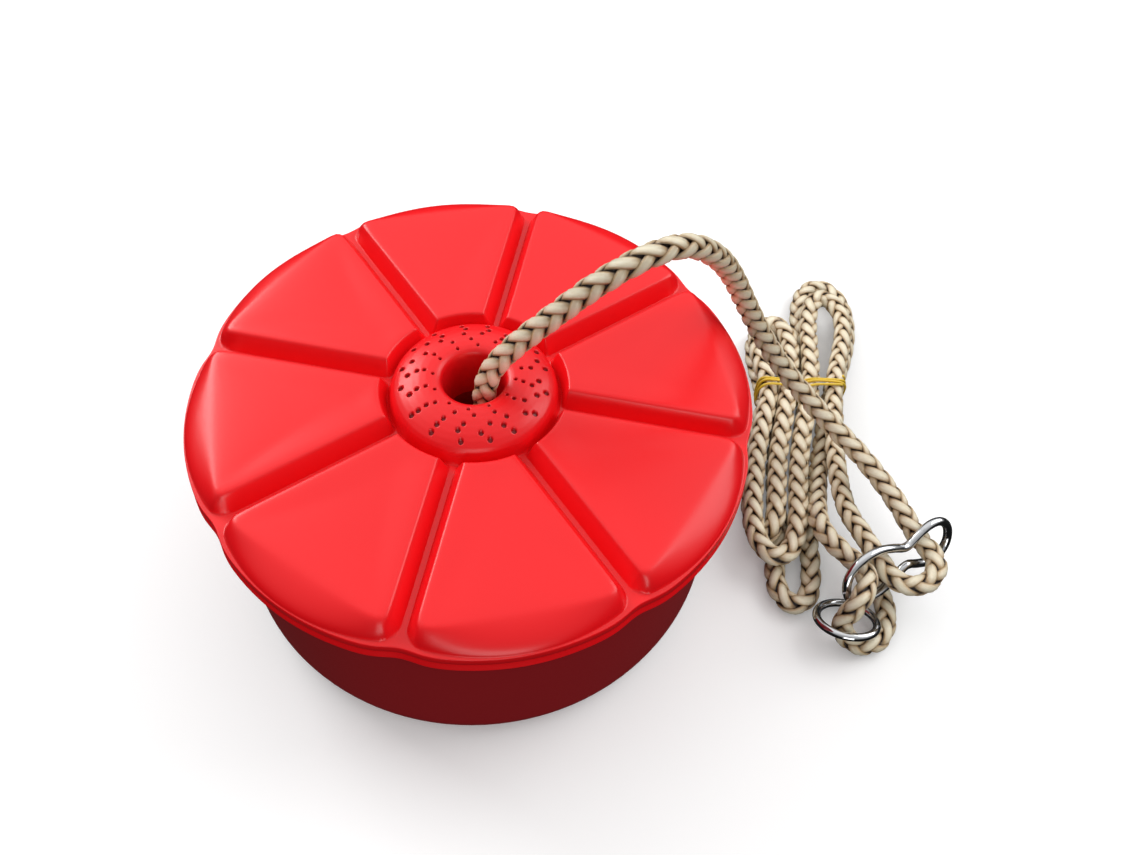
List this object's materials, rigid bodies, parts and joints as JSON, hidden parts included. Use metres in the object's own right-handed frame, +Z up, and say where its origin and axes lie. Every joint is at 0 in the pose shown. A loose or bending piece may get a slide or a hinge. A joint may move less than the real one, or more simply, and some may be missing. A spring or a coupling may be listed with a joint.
{
  "type": "disc rope swing seat",
  "caption": "Red moulded disc swing seat of raised petals on a deep bowl, with a braided rope, a wire adjuster and a hanging ring.",
  "frame": {"origin": "on the seat's axis, at the surface that the bowl stands on", "axes": "+Z up along the seat's axis; +X towards the side where the rope lies; +Y away from the viewer"},
  "size_m": [0.4107, 0.356, 0.2156],
  "materials": {
    "seat_red": "gloss",
    "bowl_maroon": "satin",
    "sleeve_red": "matte",
    "rope_beige": "satin",
    "wire_chrome": "polished",
    "washer_steel": "satin",
    "tie_yellow": "satin"
  },
  "bodies": {
    "rope": {"rope_in_seat": "rope_beige", "rope_lead": "rope_beige", "rope_eye": "rope_beige", "left_hank": "rope_beige", "right_hank": "rope_beige", "left_tie": "tie_yellow", "right_tie": "tie_yellow", "stopper_knot": "rope_beige", "knot_washer": "washer_steel"},
    "seat": {"upper_shell": "seat_red", "lower_shell": "bowl_maroon", "centre_sleeve": "sleeve_red"},
    "adjuster": {"figure_eight_adjuster": "wire_chrome"},
    "ring": {"hanging_ring": "wire_chrome"}
  },
  "joints": [
    {"name": "seat_spin", "type": "hinge", "parent": "rope", "child": "seat", "pos_m": [0, 0, 0.034], "axis": [0, 0, 1], "continuous": true},
    {"name": "adjuster_tilt", "type": "hinge", "parent": "rope", "child": "adjuster", "pos_m": [0.2415, -0.0205, 0.0305], "axis": [0.829, 0.5592, 0], "range_deg": [-6, 6]},
    {"name": "ring_turn", "type": "hinge", "parent": "rope", "child": "ring", "pos_m": [0.2097, -0.0535, 0.0129], "axis": [0, 0.5, 0.866], "continuous": true}
  ]
}
